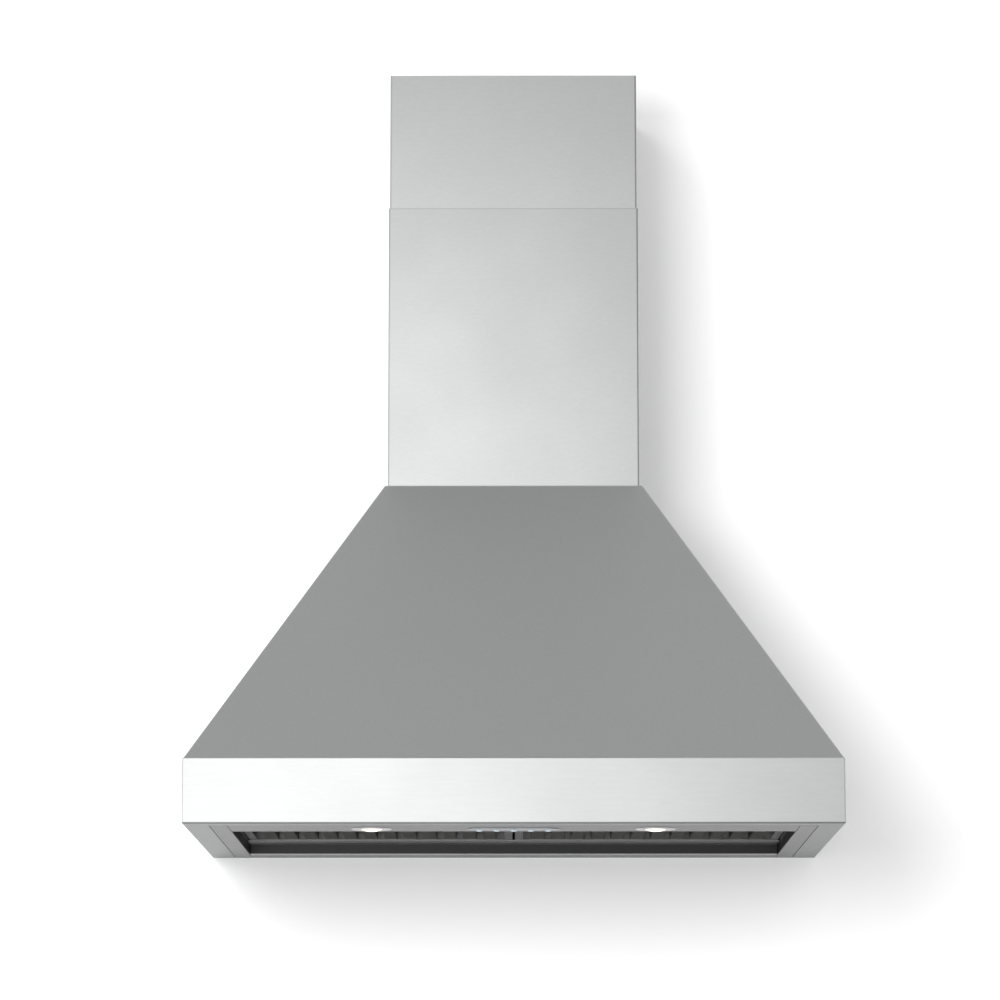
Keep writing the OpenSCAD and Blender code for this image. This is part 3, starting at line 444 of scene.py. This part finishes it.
def breakEdges(bm, width):
    bevelEdges(bm, sharpEdges(bm), width, shapePlan["edgeSteps"])


def closeUp(bm):  # takes out faces without area, and fills what they leave open
    bmesh.ops.dissolve_degenerate(bm, dist=shapePlan["sliver"], edges=bm.edges)
    bmesh.ops.holes_fill(bm, edges=[edge for edge in bm.edges if edge.is_boundary])


def piece(name, bm, body, finish):
    mesh = bpy.data.meshes.new(name)
    bm.to_mesh(mesh)
    bm.free()
    mesh.shade_smooth()
    mesh.set_sharp_from_angle(angle=shapePlan["smooth"])
    made = bpy.data.objects.new(name, mesh)
    bpy.context.scene.collection.objects.link(made)
    mesh.materials.append(finishes[finish])
    weighted = made.modifiers.new("even shading", "WEIGHTED_NORMAL")
    weighted.keep_sharp = True
    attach(made, body)
    return made


def dressed(node, thickness=0, fold=0, edge=0, finish=None):  # lengths in millimetres
    bm = mergedCopy(node, fold or edge)
    if fold:
        roundFolds(bm, thickness * mm, fold * mm)
    if edge:
        breakEdges(bm, edge * mm)
    closeUp(bm)
    name = node.replace("_", "-") if "_" in node else "hood-" + node
    made = piece(name, bm, bodyOf[node], finish or slotOf[node])
    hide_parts(node)


# Sheet pieces: thickness, outside radius of the folds, width of the broken cut edges, in millimetres, and the
# finish where it isn't the slot's own
sheetPlans = {
    "canopy_band": (1.2, 1.8, 0.3),
    "pyramid_shell": (1.2, 1.6, 0.3),
    "top_plate": (1.2, 0, 0.3),
    "back_panel": (1.2, 0, 0.3),
    "front_ledge": (1.2, 1.8, 0.25),
    "side_ledge_left": (1.2, 1.8, 0.25),
    "side_ledge_right": (1.2, 1.8, 0.25),
    "rear_ledge": (1.2, 1.8, 0.25),
    "filter_clips": (0.6, 0, 0.12),
    "hanging_hooks": (2.5, 4, 0.4),
    "lower_chimney": (1, 1.8, 0.2, "lower_chimney_shaded_steel"),
    "upper_chimney": (1, 1.8, 0.2),
    "chimney_feet": (2, 3, 0.3),
    "upper_bracket": (2, 3, 0.3),
    "blower_straps": (2, 3, 0.3),
    "control_box": (1, 1.6, 0.2),
    "control_box_lid": (1, 1.6, 0.2),
    "filter_frame_left": (0.9, 1.5, 0.2),
    "filter_frame_right": (0.9, 1.5, 0.2),
    "baffles_left": (0.9, 1.7, 0.15),
    "baffles_right": (0.9, 1.7, 0.15),
    "lamp_clips": (0.8, 0, 0.15),
}
# Turned, moulded and built-up pieces: only the width of the broken edges
solidPlans = {
    "duct_collar": 0.25, "collar_gasket": 0.3, "damper_pin": 0.3, "flap_front": 0.15, "flap_rear": 0.15,
    "blower_scroll": 0.2, "blower_side_left": 0.2, "blower_side_right": 0.2, "inlet_rings": 0.15,
    "motor_bracket": 0.4, "motor_can": 2.5, "motor_stator": 0.5, "motor_bearings": 0.4, "motor_shaft": 0.5,
    "fan_wheel": 0, "run_capacitor": 1.2, "terminal_block": 0.5, "power_board": 0.25, "lamp_driver": 1.5,
    "cable_gland": 0.6, "control_fascia": 0.5, "button_board": 0.2, "button_domes": 0, "lamp_bodies": 0.4,
    "lamp_bezels": 0.3, "lamp_lenses": 0.2, "wiring": 0, "screws": 0.5, "filter_handle_left": 0,
    "filter_handle_right": 0,
}
solidPlans |= {f"button_{number}": 0.3 for number in range(1, 6)}
for node, plan in sheetPlans.items():
    dressed(node, *plan)
for node, edge in solidPlans.items():
    dressed(node, edge=edge)
print("pieces dressed:", len(sheetPlans) + len(solidPlans))


# The stage: a pale wall just behind the hood and a pale floor, each seen from its front only. Both are clear to
# what lies against them, so that the back of the hood sees the room
stagePlan = {
    "wallSpan": 14,
    "wallGap": 1.5 * mm,
    "floorZ": -1.6,
    "clearTo": 3 * mm,
    "solidFrom": 4.5 * mm,
}
wallPlan = {"colour": (0.86, 0.86, 0.86), "lift": 0.12}  # its own light takes the bare wall to white
floorPlan = {"colour": (0.70, 0.70, 0.70), "lift": 0}


def stageFinish(name, plan):
    finish = newFinish(name)
    matt = finish.node("BsdfDiffuse", {}, {"Color": tone(plan["colour"])}, "BSDF")
    glow = finish.node("Emission", {}, {"Strength": plan["lift"]}, "Emission")
    front = finish.node("AddShader", {}, [matt, glow])
    behind = finish.node("BsdfTransparent", {}, {}, "BSDF")
    back = finish.node("NewGeometry", {}, {}, "Backfacing")
    length = finish.node("LightPath", {}, {}, "Ray Length")
    close = length.soften(stagePlan["solidFrom"], stagePlan["clearTo"])
    clear = back.maths("MAXIMUM", back, close)
    return finish.end(finish.node("MixShader", {}, {0: clear, 1: front, 2: behind}))


def stageSheet(name, corners, finish):
    bm = bmesh.new()
    bm.faces.new([bm.verts.new(corner) for corner in corners])
    mesh = bpy.data.meshes.new(name)
    bm.to_mesh(mesh)
    bm.free()
    mesh.materials.append(finish)
    made = bpy.data.objects.new(name, mesh)
    bpy.context.scene.collection.objects.link(made)


def makeStage(plan):
    half, wall, floor = plan["wallSpan"] / 2, plan["wallGap"], plan["floorZ"]
    left, right = (-half, wall, floor), (half, wall, floor)
    wallCorners = [left, right, (half, wall, half), (-half, wall, half)]
    floorCorners = [(-half, -half, floor), (half, -half, floor), right, left]
    stageSheet("wall", wallCorners, stageFinish("wall", wallPlan))
    stageSheet("floor", floorCorners, stageFinish("floor", floorPlan))


makeStage(stagePlan)


# Soft studio light: three lamps for what is matt and one broad pale panel that the metal reflects
lightPlans = {
    "front": {"place": (-1.0, -3.6, 0.33), "aim": (0, -0.3, 0.4), "size": (2.0, 1.2), "power": 34},
    "upper": {"place": (-1.75, -3.3, 2.4), "aim": (0, -0.3, 0.4), "size": (1.4, 1.2), "power": 24},
    "shadow": {"place": (-0.9, -4.0, 0.5), "aim": (0, -0.3, 0.4), "size": (1.2, 0.9), "power": 60},
}
panelPlan = {"place": (-2.38, -3.6, 0.1), "aim": (-2.38, 0, 0.1), "size": (5.3, 3.2), "brightness": 1.55}


def makeLight(name, plan, power, inMetal):
    data = bpy.data.lights.new(name, "AREA")
    data.shape = "RECTANGLE"
    data.size, data.size_y = plan["size"]
    data.energy = power
    light = bpy.data.objects.new(name, data)
    light.location = plan["place"]
    light.rotation_euler = (Vector(plan["aim"]) - Vector(plan["place"])).to_track_quat("-Z", "Y").to_euler()
    light.visible_camera = False
    light.visible_glossy = inMetal  # the metal shows the panel alone, and all else is lit by the lamps alone
    light.visible_diffuse = not inMetal
    bpy.context.scene.collection.objects.link(light)


for name, plan in lightPlans.items():
    makeLight(name, plan, plan["power"], False)
makeLight("panel", panelPlan, panelPlan["brightness"] * math.pi * math.prod(panelPlan["size"]), True)


# The room's own even light
worldPlan = {"colour": (1, 1, 1), "level": 0.75}


def makeWorld(plan):
    world = bpy.data.worlds.new("studio")
    bpy.context.scene.world = world
    finish = Finish(world)
    values = {"Color": tone(plan["colour"]), "Strength": plan["level"]}
    finish.end(finish.node("Background", {}, values, "Background"), "OutputWorld")


makeWorld(worldPlan)
bpy.context.scene.view_settings.view_transform = "Standard"
print("stage and light set")
